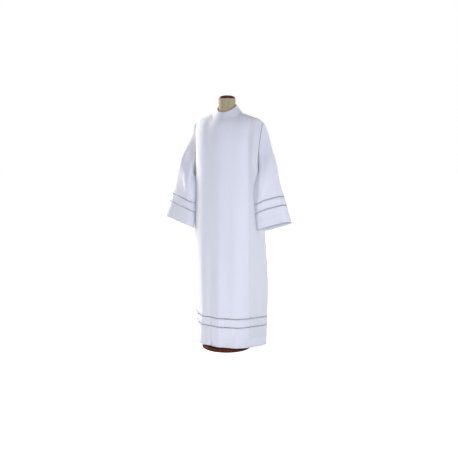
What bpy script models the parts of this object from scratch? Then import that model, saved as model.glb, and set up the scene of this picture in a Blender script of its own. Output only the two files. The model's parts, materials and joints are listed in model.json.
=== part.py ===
"""Alb robe on a dress form: a white liturgical robe with a stand collar, two front pleats, set-in
sleeves and a deep hem, worn by a limbless linen-covered form on a turned wooden base.

Metres, +Z up. The robe's front faces -Y and the wearer's left is +X. The origin is the middle of the
base's underside, on the floor. Every cloth piece is a thin wall laid on a smooth middle surface."""

import math
from collections import namedtuple

import bpy
import numpy as np

# ---- cloth ----
CLOTH = 0.0012  # wall thickness of every cloth piece
SEAM_GAP = 0.0005  # between two pieces that are sewn together
SLEEVE_STEP = (0.0010, 0.0042)  # from the body's edge to the sleeve's, at shoulder and underarm
SLEEVE_GAP = 0.0060  # where a sleeve hangs against the body, between their middle surfaces

# ---- the body of the robe: level rings from the hem to the underarm ----
HEM_Z = 0.030
UNDERARM_Z = 1.120
Ring = namedtuple(
    "Ring", "z sway front_y fold_x fold_y side_x side_y rear_x rear_y back_y"
)
# sway is how far the ring hangs to the wearer's left, fold_* a pleat's edge, side_* the side seam,
# rear_* the line below the shoulder blade, front_y and back_y the middle of the front and the back.
BODY_RINGS = (
    Ring(HEM_Z, 0.0095, -0.142, 0.175, -0.0655, 0.246, 0.040, 0.180, 0.150, 0.184),
    Ring(0.200, 0.0090, -0.141, 0.175, -0.0655, 0.251, 0.032, 0.190, 0.150, 0.182),
    Ring(0.380, 0.0070, -0.138, 0.177, -0.0680, 0.259, 0.030, 0.190, 0.150, 0.176),
    Ring(0.600, 0.0040, -0.133, 0.178, -0.0680, 0.253, 0.026, 0.184, 0.144, 0.168),
    Ring(0.850, 0.0000, -0.127, 0.177, -0.0600, 0.236, 0.020, 0.182, 0.130, 0.154),
    Ring(UNDERARM_Z, 0.0000, -0.120, 0.176, -0.0570, 0.2265, 0.012, 0.178, 0.112, 0.142),
)
# Ring parameter of each named point: 0 is the middle of the front, 1 and 3 are the side seams.
T_FOLD, T_SIDE, T_REAR, T_BACK = 0.70, 1.0, 1.42, 2.0

# ---- how finely the cloth is divided ----
PANEL_T = np.linspace(0, T_FOLD, 9)  # columns from the middle to a pleat's edge
SIDE_INSET, TOP_INSET = 0.0013, 0.007  # shares that keep 0.5 mm clear at the side and top seams
SIDE_T = np.linspace(T_FOLD, 1 - SIDE_INSET, 8)
SKIRT_ROWS = 9  # from the hem to the underarm
YOKE_ROWS = 12  # from the underarm to the top edge, and half the columns of a sleeve
SKIRT_V = np.linspace(0, 1, SKIRT_ROWS, endpoint=False)
YOKE_V = 1 + np.linspace(0, 1, YOKE_ROWS, endpoint=False)
BODY_ROWS = [*SKIRT_V, *YOKE_V, 2 - TOP_INSET]
SLEEVE_ROWS = 15
COLLAR_ROWS, COLLAR_COLUMNS = 5, 32

# ---- the pleats: the cloth turns under at each edge and out again ----
PLEAT_UNDER_T = 0.165  # how far a pleat reaches under, in ring parameter: about 48 mm
PLEAT_STEP_HEM = 0.0042  # distance between two layers at the hem
PLEAT_STEP_TOP = 0.0024  # the same where the shoulder seam holds them
TURN_STEPS = 3  # facets round each turn
# The panel stands on its layers from this far inside the pleat, over a run of this length.
LIFT_START, LIFT_RUN = 0.30, 0.28

# ---- the yoke: neckline, shoulder and armhole ----
NECK_X, NECK_Y, NECK_Y0 = 0.094, 0.084, 0.008  # half width, half depth and middle of the neckline
NECK_Z = (1.459, 1.465, 1.501, 1.517)  # at the middle front, 45 degrees, the shoulder and the back
NECK_RISE = (0.0, 0.146, 0.5, 1.0)  # shares of the way from the front of the neck to the back, at each
SHOULDER_LINE = (  # x, y, z along the seam, from the neckline to the sleeve
    (0.094, 0.008, 1.501),
    (0.150, 0.014, 1.480),
    (0.190, 0.019, 1.468),
    (0.215, 0.023, 1.458),
    (0.238, 0.026, 1.440),
)
T_NECK = 0.33  # ring parameter where the shoulder seam meets the neckline
NECK_EASE = 0.90  # how far out the cloth is shaped by the neck
NECK_BEND = 6  # how late the cloth leaves its calm fall for the neck hole: a higher power is later
YOKE_OVER = (0.30, 0.10)  # how fast, inwards and up, the cloth runs on to the shoulder seam
YOKE_TO_NECK = (0.15, 0.45)  # the same at the neck, where the rise is a share of the yoke's height
YOKE_DIP = 0.02  # below the underarm, where the yoke takes its first direction from
ARMHOLE_FROM = 0.50  # how far out the armhole begins to shape the cloth
# The armhole's edge leaves the underarm and reaches the shoulder along these, before and behind.
ARMHOLE_FRONT = ((-0.05, -0.10, 0.12), (0.04, 0.05, 0.20))
ARMHOLE_BACK = ((-0.05, 0.16, 0.12), (0.04, -0.20, 0.20))

# ---- collar ----
COLLAR_R, COLLAR_Y0 = 0.0600, 0.009
COLLAR_FRONT_Z, COLLAR_BACK_Z = 1.502, 1.557
COLLAR_SEAM = SEAM_GAP + 1.6 * CLOTH  # from the neck seam to the collar's foot
COLLAR_LEAN = (1.0, 1.0, 0.75)  # how the collar leaves the seam, as shares of its reach
COLLAR_STAND = (0.7, 0.7, 1.25)  # and how it arrives at its top edge

# ---- sleeves, given for the wearer's left ----
# Each row is a loop of the sleeve: its inner end, its outer end, half its depth and how far the
# underarm seam is turned to the back, in radians.
SleeveRing = namedtuple("SleeveRing", "share inner outer half_depth turn")
SLEEVE_RINGS = (
    SleeveRing(0.34, (0.224, -0.038, 1.045), (0.304, 0.042, 1.230), 0.060, 0.45),
    SleeveRing(0.66, (0.222, -0.037, 0.905), (0.3665, 0.0245, 1.040), 0.054, 0.30),
    SleeveRing(1.00, (0.2285, -0.022, 0.767), (0.4435, 0.000, 0.832), 0.042, 0.0),
)
SLEEVE_TILT = math.radians(20)  # the front of each loop is lifted by this
SLEEVE_HEAD = (0.35, 0.10, -0.50)  # direction and speed of the cloth as it leaves the shoulder
# A sleeve is held off the robe's side from this far above the underarm down, with these soft starts.
UNDERARM_BAND, UNDERARM_FADE, HEAD_FADE = 0.10, 0.04, 0.08
FLANK_ROUND = 0.006

# ---- dress form ----
POLE_R = 0.016
FormRing = namedtuple("FormRing", "z half_width front back power")
FORM_RINGS = (  # a power of 2 is an ellipse, and a lower one pinches the ring at the shoulders
    FormRing(0.742, 0.110, 0.070, 0.080, 2.0),
    FormRing(0.750, 0.140, 0.088, 0.100, 2.0),
    FormRing(0.780, 0.158, 0.094, 0.112, 2.0),
    FormRing(0.880, 0.162, 0.092, 0.114, 2.0),
    FormRing(1.020, 0.134, 0.082, 0.092, 2.0),
    FormRing(1.120, 0.146, 0.092, 0.096, 2.0),
    FormRing(1.240, 0.160, 0.094, 0.100, 2.0),
    FormRing(1.330, 0.176, 0.080, 0.094, 1.8),
    FormRing(1.385, 0.196, 0.064, 0.082, 1.5),
    FormRing(1.415, 0.202, 0.056, 0.076, 1.3),
    FormRing(1.436, 0.196, 0.051, 0.072, 1.15),
    FormRing(1.452, 0.176, 0.048, 0.069, 1.1),
    FormRing(1.466, 0.140, 0.047, 0.067, 1.2),
    FormRing(1.479, 0.106, 0.046, 0.065, 1.4),
    FormRing(1.492, 0.074, 0.045, 0.063, 1.8),
    FormRing(1.508, 0.058, 0.0445, 0.0625, 2.0),
    FormRing(1.540, 0.0535, 0.0445, 0.0625, 2.0),
    FormRing(1.588, 0.0535, 0.0445, 0.0625, 2.0),
)
NECK_TOP_Y = (FORM_RINGS[-1].back - FORM_RINGS[-1].front) / 2
CAP_GAP = 0.0005
CAP_R, CAP_H = 0.0505, 0.018
CAP_FOOT, CAP_RIM, CAP_FLAT = 0.0015, 0.005, 0.004  # foot's chamfer, rim's height, flat on top

# ---- base ----
BASE_R, BASE_RIM = 0.158, 0.020
BOSS_R, BOSS_H = 0.036, 0.052
BASE_PROFILE = (  # radius and height, from the bottom edge up to the boss
    (BASE_R - 0.004, 0.0),
    (BASE_R - 0.001, 0.002),
    (BASE_R, 0.006),
    (BASE_R, BASE_RIM - 0.008),
    (BASE_R - 0.002, BASE_RIM - 0.003),
    (BASE_R - 0.008, BASE_RIM),
    (0.090, BASE_RIM + 0.002),
    (0.055, BASE_RIM + 0.007),
    (BOSS_R, BASE_RIM + 0.016),
    (BOSS_R, BOSS_H - 0.004),
    (BOSS_R - 0.004, BOSS_H),
)
TURNED_SIDES, CAP_SIDES, POLE_SIDES, FORM_SIDES = 48, 36, 24, 36


def hermite(p0, p1, pull0, pull1, w):
    """Points between p0 and p1, leaving along pull0 and arriving along pull1."""
    w2, w3 = w * w, w * w * w
    return (
        (2 * w3 - 3 * w2 + 1) * p0
        + (w3 - 2 * w2 + w) * pull0
        + (3 * w2 - 2 * w3) * p1
        + (w3 - w2) * pull1
    )


def spline(knots, values, at, start_slope=None):
    """A smooth curve through one row of values for each knot, read at the parameter at."""
    knots, values = np.asarray(knots, float), np.asarray(values, float)
    steps = np.diff(knots)
    secants = np.diff(values, axis=0) / steps[:, None]
    slopes = np.empty_like(values)
    slopes[0], slopes[-1] = secants[0], secants[-1]
    share = (steps[:-1] / (steps[:-1] + steps[1:]))[:, None]
    slopes[1:-1] = secants[:-1] * (1 - share) + secants[1:] * share
    if start_slope is not None:
        slopes[0] = start_slope
    cell = int(np.clip(np.searchsorted(knots, at, side="right") - 1, 0, len(steps) - 1))
    w = (at - knots[cell]) / steps[cell]
    return hermite(
        values[cell],
        values[cell + 1],
        slopes[cell] * steps[cell],
        slopes[cell + 1] * steps[cell],
        w,
    )


def smooth(x):
    """0 at or below 0, 1 at or above 1, and an even rise between."""
    x = min(1.0, max(0.0, x))
    return x * x * (3 - 2 * x)


def unit(v):
    return v / np.linalg.norm(v)


def body_ring(t, z):
    """A point of the robe's level ring at height z. t runs round it from the middle of the front."""
    row = Ring(*spline([r.z for r in BODY_RINGS], BODY_RINGS, z))
    corners = [
        (0.0, 0.0, row.front_y),
        (T_FOLD, row.fold_x, row.fold_y),
        (T_SIDE, row.side_x, row.side_y),
        (T_REAR, row.rear_x, row.rear_y),
        (T_BACK, 0.0, row.back_y),
        (4 - T_REAR, -row.rear_x, row.rear_y),
        (4 - T_SIDE, -row.side_x, row.side_y),
        (4 - T_FOLD, -row.fold_x, row.fold_y),
    ]
    before = [(knot - 4, *place) for knot, *place in corners[-3:]]
    after = [(knot + 4, *place) for knot, *place in corners[:3]]
    around = before + corners + after
    knots, values = [c[0] for c in around], [c[1:] for c in around]
    x, y = spline(knots, values, t)
    return np.array((x + row.sway, y, z))


def neckline(angle):
    """A point of the neck seam. The angle is 0 at the middle of the front and pi at the back."""
    rise = (1 - math.cos(angle)) / 2
    z = spline(NECK_RISE, [(level,) for level in NECK_Z], rise)[0]
    return np.array((NECK_X * math.sin(angle), NECK_Y0 - NECK_Y * math.cos(angle), z))


def shoulder(share):
    """A point of the wearer's left shoulder seam, from the neckline (0) to the sleeve (1)."""
    knots = [(p[0] - SHOULDER_LINE[0][0]) for p in SHOULDER_LINE]
    return spline([k / knots[-1] for k in knots], SHOULDER_LINE, share)


def top_edge(t, back):
    """Where the column t of the front or the back ends: on the neckline or the shoulder seam."""
    side = 1.0 if t >= 0 else -1.0
    t = abs(t)
    if t <= T_NECK:
        angle = t / T_NECK * math.pi / 2
        point = neckline(math.pi - angle if back else angle)
    else:
        point = np.array(shoulder((t - T_NECK) / (1 - T_NECK)))
    point[0] *= side
    return point


def ridge(t, back):
    """Where column t would end if the shoulder seam ran on across the neck in one calm line."""
    side = 1.0 if t >= 0 else -1.0
    t = abs(t)
    x, y, z = shoulder(max(t - T_NECK, 0.0) / (1 - T_NECK))
    if t < T_NECK:
        x = NECK_X * t / T_NECK
    middle = neckline(math.pi if back else 0.0)
    ease = smooth(t / NECK_EASE)
    y = middle[1] + (y - middle[1]) * ease
    z = middle[2] + (z - middle[2]) * ease
    return np.array((side * x, y, z))


def yoke(t, w, back):
    """A point above the underarm. t is -1..1 across the piece, and w runs up from 0 to 1."""
    way = 1.0 if back else -1.0
    ring_t = 2 - t if back else t
    start = body_ring(ring_t, UNDERARM_Z)
    below = body_ring(ring_t, UNDERARM_Z - YOKE_DIP)
    end = ridge(t, back)
    height = end[2] - start[2]
    rise = (start - below) / YOKE_DIP * height
    side = np.array((math.copysign(1.0, t), 1, 1))
    edge = ARMHOLE_BACK if back else ARMHOLE_FRONT
    outer = smooth((abs(t) - ARMHOLE_FROM) / (1 - ARMHOLE_FROM))
    on_neck = 1 - smooth(abs(t) / NECK_EASE)
    over = np.array((0.0, -way * YOKE_OVER[0], YOKE_OVER[1]))
    to_neck = np.array((0.0, -way * YOKE_TO_NECK[0], height * YOKE_TO_NECK[1]))
    pull0 = rise * (1 - outer**2) + np.array(edge[0]) * side * outer**2
    pull1 = over * (1 - on_neck) + to_neck * on_neck
    pull1 = pull1 * (1 - outer**3) + np.array(edge[1]) * side * outer**3
    return hermite(start, end, pull0, pull1, w) + (top_edge(t, back) - end) * w**NECK_BEND


def body_surface(t, v, back):
    """The robe's middle surface: v is 0 at the hem, 1 at the underarm and 2 at the top edge."""
    if v <= 1:
        return body_ring(2 - t if back else t, HEM_Z + v * (UNDERARM_Z - HEM_Z))
    return yoke(t, v - 1, back)


def surface_frame(surface, t, v):
    """The point, the unit tangent along t and the unit normal of a surface."""
    step = 1e-3
    here = surface(t, v)
    across = surface(t + step, v) - surface(t - step, v)
    up = surface(t, min(v + step, 2)) - surface(t, max(v - step, 0))
    return here, unit(across), unit(np.cross(across, up))


def pleat_path():
    """The front's cross-section, from the wearer's right side seam to the left one. Each entry is
    the ring parameter, a sideways shift in layer steps and the layer: 2 on top, 0 underneath."""
    turn = [math.pi * i / TURN_STEPS for i in range(TURN_STEPS + 1)]
    inner_t = T_FOLD - PLEAT_UNDER_T
    under = (T_FOLD + inner_t) / 2
    half = [(t, 0.0, 2.0) for t in PANEL_T[:-1]]
    half += [(T_FOLD, math.sin(a) / 2, 1.5 + math.cos(a) / 2) for a in turn]
    half += [(under, 0.0, 1.0)]
    half += [(inner_t, -math.sin(a) / 2, 0.5 + math.cos(a) / 2) for a in turn]
    half += [(under, 0.0, 0.0)]
    half += [(t, 0.0, 0.0) for t in SIDE_T]
    mirrored = [(-t, -shift, layer) for t, shift, layer in reversed(half[1:])]
    return mirrored + half


def front_point(t, shift, layer, v):
    """A point of the pleated front: its place on the body's surface, moved out by its layers."""
    step = PLEAT_STEP_HEM + (PLEAT_STEP_TOP - PLEAT_STEP_HEM) * smooth(v / 2)
    here, across, out = surface_frame(lambda a, b: body_surface(a, b, False), t, v)
    lift = smooth((abs(t) - T_FOLD + PLEAT_UNDER_T + LIFT_START) / LIFT_RUN)
    return here + across * shift * step + out * layer * lift * step


def armhole(a, side):
    """The armhole loop: a is 0 at the underarm, 0.25 at the front, 0.5 at the shoulder."""
    w = 1 - abs(1 - 2 * a)
    return yoke(side, w, back=a > 0.5)


def sleeve_loop(row, a, side):
    """A point of one loop of a sleeve. a is as in armhole()."""
    inner, outer = np.array(row.inner), np.array(row.outer)
    middle, half = (inner + outer) / 2, (outer - inner) / 2
    level = unit(np.array((-half[1], half[0], 0.0)))
    front = -level * math.cos(SLEEVE_TILT) + np.array((0, 0, math.sin(SLEEVE_TILT)))
    angle = 2 * math.pi * a - row.turn * (1 + math.cos(2 * math.pi * a)) / 2
    point = middle - half * math.cos(angle) + front * row.half_depth * math.sin(angle)
    return point * (side, 1, 1)


def flank(y, z):
    """How far out the robe's side is at the depth y."""
    ring = [body_ring(t, z) for t in np.linspace(T_FOLD, T_REAR, 10)]
    return np.interp(y, [p[1] for p in ring], [p[0] for p in ring])


def sleeve_point(a, s, side):
    """A point of a sleeve. a runs round it as in armhole(), s from the armhole to the cuff."""
    top = (1 - math.cos(2 * math.pi * a)) / 2
    head = np.array(SLEEVE_HEAD) * (side, 1, 1)
    aside = SLEEVE_STEP[0] * top + SLEEVE_STEP[1] * (1 - top)
    start = armhole(a, side) + (side * aside, 0, 0) + unit(head) * SEAM_GAP
    knots = [0.0] + [row.share for row in SLEEVE_RINGS]
    loops = [start] + [sleeve_loop(row, a, side) for row in SLEEVE_RINGS]
    first = (loops[1] - start) / knots[1]
    point = spline(knots, loops, s, first * (1 - top) + head * top)
    below = smooth((UNDERARM_Z + UNDERARM_BAND - point[2]) / UNDERARM_FADE) * smooth(s / HEAD_FADE)
    kept = flank(point[1], min(point[2], UNDERARM_Z)) + SLEEVE_GAP
    over = side * point[0] - kept
    point[0] += side * below * ((math.hypot(over, FLANK_ROUND) + over) / 2 - over)
    return point


def collar_point(angle, s):
    """A point of the collar. The angle is as in neckline(), s from the seam to the top edge."""
    foot = neckline(angle)
    rise = (1 - math.cos(angle)) / 2
    top_z = COLLAR_FRONT_Z + (COLLAR_BACK_Z - COLLAR_FRONT_Z) * math.sin(rise * math.pi / 2)
    top = np.array(
        (COLLAR_R * math.sin(angle), COLLAR_Y0 - COLLAR_R * math.cos(angle), top_z)
    )
    foot = foot + unit(top - foot) * COLLAR_SEAM
    return hermite(foot, top, (top - foot) * COLLAR_LEAN, (top - foot) * COLLAR_STAND, s)


def material(name, colour, roughness, metallic=0.0):
    made = bpy.data.materials.new(name)
    made.use_nodes = True
    shader = made.node_tree.nodes["Principled BSDF"]
    shader.inputs["Base Color"].default_value = (*colour, 1.0)
    shader.inputs["Roughness"].default_value = roughness
    shader.inputs["Metallic"].default_value = metallic
    return made


def add_mesh(name, points, faces, finish):
    mesh = bpy.data.meshes.new(name)
    mesh.from_pydata([tuple(p) for p in points], [], faces)
    mesh.materials.append(finish)
    mesh.shade_smooth()
    mesh.set_sharp_from_angle(angle=math.radians(40))
    made = bpy.data.objects.new(name, mesh)
    bpy.context.scene.collection.objects.link(made)
    return made


def add_cloth(name, rows, finish, loop=False):
    """A cloth wall on a grid of middle points. Rows run up or down, and a loop closes each row."""
    count = len(rows[0])
    points = [p for row in rows for p in row]
    faces = []
    for r in range(len(rows) - 1):
        for c in range(count if loop else count - 1):
            low, high, after = r * count, (r + 1) * count, (c + 1) % count
            faces.append((low + c, low + after, high + after, high + c))
    made = add_mesh(name, points, faces, finish)
    wall = made.modifiers.new("Cloth thickness", "SOLIDIFY")
    wall.thickness = CLOTH
    wall.offset = 0
    wall.use_even_offset = True
    return made


def add_front(finish):
    rows = [[front_point(*entry, v) for entry in pleat_path()] for v in BODY_ROWS]
    return add_cloth("front", rows, finish)


def add_back(finish):
    across = [*reversed(SIDE_T), *reversed(PANEL_T[:-1])]
    across += [-t for t in PANEL_T[1:]] + [-t for t in SIDE_T[1:]]
    rows = [[body_surface(t, v, True) for t in across] for v in BODY_ROWS]
    return add_cloth("back", rows, finish)


def add_sleeve(name, side, finish):
    around = np.linspace(0, 1, 2 * YOKE_ROWS, endpoint=False)
    if side < 0:
        around = around[::-1]
    shares = np.linspace(1, 0, SLEEVE_ROWS)
    rows = [[sleeve_point(a, s, side) for a in around] for s in shares]
    return add_cloth(name, rows, finish, loop=True)


def add_collar(finish):
    around = np.linspace(0, 2 * math.pi, COLLAR_COLUMNS, endpoint=False)
    shares = np.linspace(0, 1, COLLAR_ROWS)
    rows = [[collar_point(angle, s) for angle in around] for s in shares]
    return add_cloth("collar", rows, finish, loop=True)


def add_turned(name, profile, finish, centre_y=0.0, sides=TURNED_SIDES):
    """A turned piece. The profile lists radius and height from the bottom centre to the top."""
    points = [(0.0, centre_y, profile[0][1])]
    for radius, z in profile:
        for i in range(sides):
            angle = 2 * math.pi * i / sides
            points.append((radius * math.cos(angle), centre_y + radius * math.sin(angle), z))
    points.append((0.0, centre_y, profile[-1][1]))
    last = len(points) - 1
    faces = []
    for i in range(sides):
        after = (i + 1) % sides
        faces.append((0, 1 + after, 1 + i))
        for ring in range(len(profile) - 1):
            low, high = 1 + ring * sides, 1 + (ring + 1) * sides
            faces.append((low + i, low + after, high + after, high + i))
        top = 1 + (len(profile) - 1) * sides
        faces.append((top + i, top + after, last))
    return add_mesh(name, points, faces, finish)


def form_ring(row):
    """A level ring of the form."""
    middle, depth = (row.back - row.front) / 2, (row.back + row.front) / 2
    ring = []
    for i in range(FORM_SIDES):
        angle = 2 * math.pi * i / FORM_SIDES
        c, s = math.cos(angle), math.sin(angle)
        reach = (abs(c) ** row.power + abs(s) ** row.power) ** (-1 / row.power)
        ring.append((row.half_width * reach * c, middle + depth * reach * s, row.z))
    return ring


def add_form(finish):
    """The torso and neck under the robe, closed at both ends."""
    rings = [form_ring(row) for row in FORM_RINGS]
    points = [p for ring in rings for p in ring]
    faces = [tuple(reversed(range(FORM_SIDES)))]
    for r in range(len(rings) - 1):
        for i in range(FORM_SIDES):
            low, high, after = r * FORM_SIDES, (r + 1) * FORM_SIDES, (i + 1) % FORM_SIDES
            faces.append((low + i, low + after, high + after, high + i))
    faces.append(tuple(range((len(rings) - 1) * FORM_SIDES, len(rings) * FORM_SIDES)))
    return add_mesh("form_torso", points, faces, finish)


def add_cap(finish):
    """The wooden neck cap: a low dome with a rounded rim."""
    foot = FORM_RINGS[-1].z + CAP_GAP
    profile = [(CAP_R - CAP_FOOT, foot), (CAP_R, foot + CAP_FOOT), (CAP_R, foot + CAP_RIM)]
    steps = 6
    for i in range(1, steps + 1):
        angle = i / steps * math.pi / 2
        radius = CAP_R * math.cos(angle) + CAP_FLAT * math.sin(angle)
        profile.append((radius, foot + CAP_RIM + (CAP_H - CAP_RIM) * math.sin(angle)))
    return add_turned("neck_cap", profile, finish, NECK_TOP_Y, CAP_SIDES)


def add_base(finish):
    """The turned base: a disc with a rounded rim, rising to a boss round the pole."""
    return add_turned("base", BASE_PROFILE, finish)


def add_pole(finish):
    """The pole between the boss and the form's underside."""
    foot, top = BOSS_H + SEAM_GAP, FORM_RINGS[0].z - SEAM_GAP
    return add_turned("pole", [(POLE_R, foot), (POLE_R, top)], finish, sides=POLE_SIDES)


def main():
    for old in list(bpy.data.objects):
        bpy.data.objects.remove(old, do_unlink=True)
    white = material("white cloth", (0.80, 0.81, 0.86), 0.85)
    linen = material("linen", (0.42, 0.36, 0.25), 0.9)
    mahogany = material("dark wood", (0.06, 0.022, 0.012), 0.35)
    add_front(white)
    add_back(white)
    add_sleeve("sleeve_left", 1.0, white)
    add_sleeve("sleeve_right", -1.0, white)
    add_collar(white)
    add_form(linen)
    add_cap(mahogany)
    add_pole(mahogany)
    add_base(mahogany)


main()
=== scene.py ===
# %% [markdown]
# # An alb on a dress form
# The alb is a long white robe of poly-cotton: a front with two large flat pleats, a plain back, two
# wide set-in sleeves and a stand collar, with two rows of drawn-thread openwork round the hem and
# round each cuff. It hangs on a limbless form of padded linen with a mahogany neck cap, pole and base.
# Cloth could be simulated, but a robe this plain hangs in long, calm lines that come from its cut.
# So each piece is a smooth surface worked out from its sections, with its creases laid on one by one.

# %% [markdown]
# ## The model
# The robe's solids carry its real sizes. They are loaded first, because every piece below is worked
# out in their frame, in metres, and takes the place of one of them or is sewn to one.

# %% Load the frame
import json
import math
from collections import namedtuple

import bpy
import numpy as np
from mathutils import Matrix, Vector

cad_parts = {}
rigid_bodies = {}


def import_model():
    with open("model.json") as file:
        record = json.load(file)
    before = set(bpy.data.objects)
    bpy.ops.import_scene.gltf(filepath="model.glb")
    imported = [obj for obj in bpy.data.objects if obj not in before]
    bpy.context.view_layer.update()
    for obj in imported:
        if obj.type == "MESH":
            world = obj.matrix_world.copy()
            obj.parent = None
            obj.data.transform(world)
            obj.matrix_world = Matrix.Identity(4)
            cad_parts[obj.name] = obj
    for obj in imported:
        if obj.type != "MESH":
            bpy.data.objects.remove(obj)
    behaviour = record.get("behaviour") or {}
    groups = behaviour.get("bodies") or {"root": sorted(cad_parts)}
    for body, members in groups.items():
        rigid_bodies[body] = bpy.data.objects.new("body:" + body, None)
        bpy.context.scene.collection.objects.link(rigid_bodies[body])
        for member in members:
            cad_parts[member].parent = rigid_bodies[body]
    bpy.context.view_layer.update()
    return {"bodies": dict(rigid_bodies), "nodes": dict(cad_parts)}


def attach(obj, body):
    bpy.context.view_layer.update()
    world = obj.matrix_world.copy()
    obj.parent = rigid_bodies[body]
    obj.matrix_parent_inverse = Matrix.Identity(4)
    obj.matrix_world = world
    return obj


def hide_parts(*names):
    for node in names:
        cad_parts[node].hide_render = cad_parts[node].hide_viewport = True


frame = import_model()
MM = 0.001
BODY = sorted(frame["bodies"])[0]
print("nodes:", ", ".join(sorted(frame["nodes"])), "on body", BODY)

# %% [markdown]
# ## Camera
# A catalogue view is set a little above the waist and turned to show one side. A long lens from over
# four metres keeps the pleats straight. The camera is made first, since every later choice of detail
# is judged through it.

# %% Camera
CAMERA_TURN, CAMERA_DIP, CAMERA_ASIDE = math.radians(26), math.radians(6.8), math.radians(0.22)
CAMERA_AWAY, CAMERA_HEIGHT = 4.3, 1.28
SENSOR_WIDE_MM, LENS_MM = 36, 53.2
camera_data = bpy.data.cameras.new("camera")
camera_data.sensor_width, camera_data.lens = SENSOR_WIDE_MM, LENS_MM
camera = bpy.data.objects.new("camera", camera_data)
camera.location = (
    CAMERA_AWAY * math.sin(CAMERA_TURN),
    -CAMERA_AWAY * math.cos(CAMERA_TURN),
    CAMERA_HEIGHT,
)
camera.rotation_euler = (math.pi / 2 - CAMERA_DIP, 0, CAMERA_TURN - CAMERA_ASIDE)
bpy.context.scene.collection.objects.link(camera)
bpy.context.scene.camera = camera
print("camera at", [round(c, 2) for c in camera.location])

# %% [markdown]
# ## Smooth curves
# A pattern cutter joins a few measured points with a curve ruler. These helpers do the same with
# numbers: they take whole arrays, so that one call gives every point of a piece.


# %% Curve helpers
def smooth(x):
    """0 at or below 0, 1 at or above 1, and an even rise between."""
    x = np.clip(x, 0, 1)
    return x * x * (3 - 2 * x)


def unit(v):
    """Each vector at length 1."""
    return v / np.linalg.norm(v, axis=-1, keepdims=True)


def vectors(x, y, z):
    """Points from their coordinates, each an array or one number."""
    return np.stack(np.broadcast_arrays(x, y, z), axis=-1)


def hermite(p0, p1, pull0, pull1, w):
    """Points between p0 and p1, leaving along pull0 and arriving along pull1."""
    w2, w3 = w * w, w * w * w
    leave, arrive = w3 - 2 * w2 + w, w3 - w2
    return (2 * w3 - 3 * w2 + 1) * p0 + leave * pull0 + (3 * w2 - 2 * w3) * p1 + arrive * pull1


def pick(values, cell):
    """The row of values that each point asks for."""
    if values.ndim == 2 or cell.ndim == 0:
        return values[cell]
    return np.take_along_axis(values, cell[None, ..., None], axis=0)[0]


def spline(knots, values, at, start_slope=None):
    """A smooth curve through one row of values for each knot, read at one parameter or at many."""
    knots, values, at = (np.asarray(x, float) for x in (knots, values, at))
    steps = np.diff(knots)
    column = steps.reshape(-1, *[1] * (values.ndim - 1))
    secants = np.diff(values, axis=0) / column
    share = column[:-1] / (column[:-1] + column[1:])
    middle = secants[:-1] * (1 - share) + secants[1:] * share
    first = secants[:1] if start_slope is None else start_slope[None]
    slopes = np.concatenate((first, middle, secants[-1:]))
    cell = np.clip(np.searchsorted(knots, at, side="right") - 1, 0, len(steps) - 1)
    step, w = steps[cell][..., None], ((at - knots[cell]) / steps[cell])[..., None]
    return hermite(
        pick(values, cell),
        pick(values, cell + 1),
        pick(slopes, cell) * step,
        pick(slopes, cell + 1) * step,
        w,
    )


print("half way up a smooth step:", smooth(0.5))

# %% [markdown]
# ## The robe's body
# Below the underarm the body is a stack of level rings from the hem up, each with named corners:
# the middle of the front, the pleat's edge, the side seam, the line below the shoulder blade and the
# middle of the back. Above it the yoke runs from the top ring to the neckline and shoulder seam.

# %% Body sizes
HEM_Z, UNDERARM_Z = 0.030, 1.120
Ring = namedtuple("Ring", "z sway front_y fold_x fold_y side_x side_y rear_x rear_y back_y")
BODY_RINGS = (
    Ring(HEM_Z, 0.0095, -0.142, 0.175, -0.0655, 0.246, 0.040, 0.180, 0.150, 0.184),
    Ring(0.200, 0.0090, -0.141, 0.175, -0.0655, 0.251, 0.032, 0.190, 0.150, 0.182),
    Ring(0.380, 0.0070, -0.138, 0.177, -0.0680, 0.259, 0.030, 0.190, 0.150, 0.176),
    Ring(0.600, 0.0040, -0.133, 0.178, -0.0680, 0.253, 0.026, 0.184, 0.144, 0.168),
    Ring(0.850, 0.0000, -0.127, 0.177, -0.0600, 0.236, 0.020, 0.182, 0.130, 0.154),
    Ring(UNDERARM_Z, 0.0000, -0.120, 0.176, -0.0570, 0.2265, 0.012, 0.178, 0.112, 0.142),
)
# Where the corners stand on t, which is 0 at the middle of the front and 2 at the middle of the back.
T_FOLD, T_SIDE, T_REAR, T_BACK = 0.70, 1.0, 1.42, 2.0
NECK_X, NECK_Y, NECK_Y0 = 0.094, 0.084, 0.008
# The neck seam's height at some places on the way from the front (0) to the back (1).
NECK_RISE, NECK_Z = (0.0, 0.146, 0.5, 1.0), (1.459, 1.465, 1.501, 1.517)
SHOULDER_LINE = (
    (0.094, 0.008, 1.501),
    (0.150, 0.014, 1.480),
    (0.190, 0.019, 1.468),
    (0.215, 0.023, 1.458),
    (0.238, 0.026, 1.440),
)
T_NECK = 0.33
# The way each armhole's edge leaves the underarm, and the way it arrives at the shoulder.
ARMHOLE_FRONT = ((-0.05, -0.10, 0.12), (0.04, 0.05, 0.20))
ARMHOLE_BACK = ((-0.05, 0.16, 0.12), (0.04, -0.20, 0.20))


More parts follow.
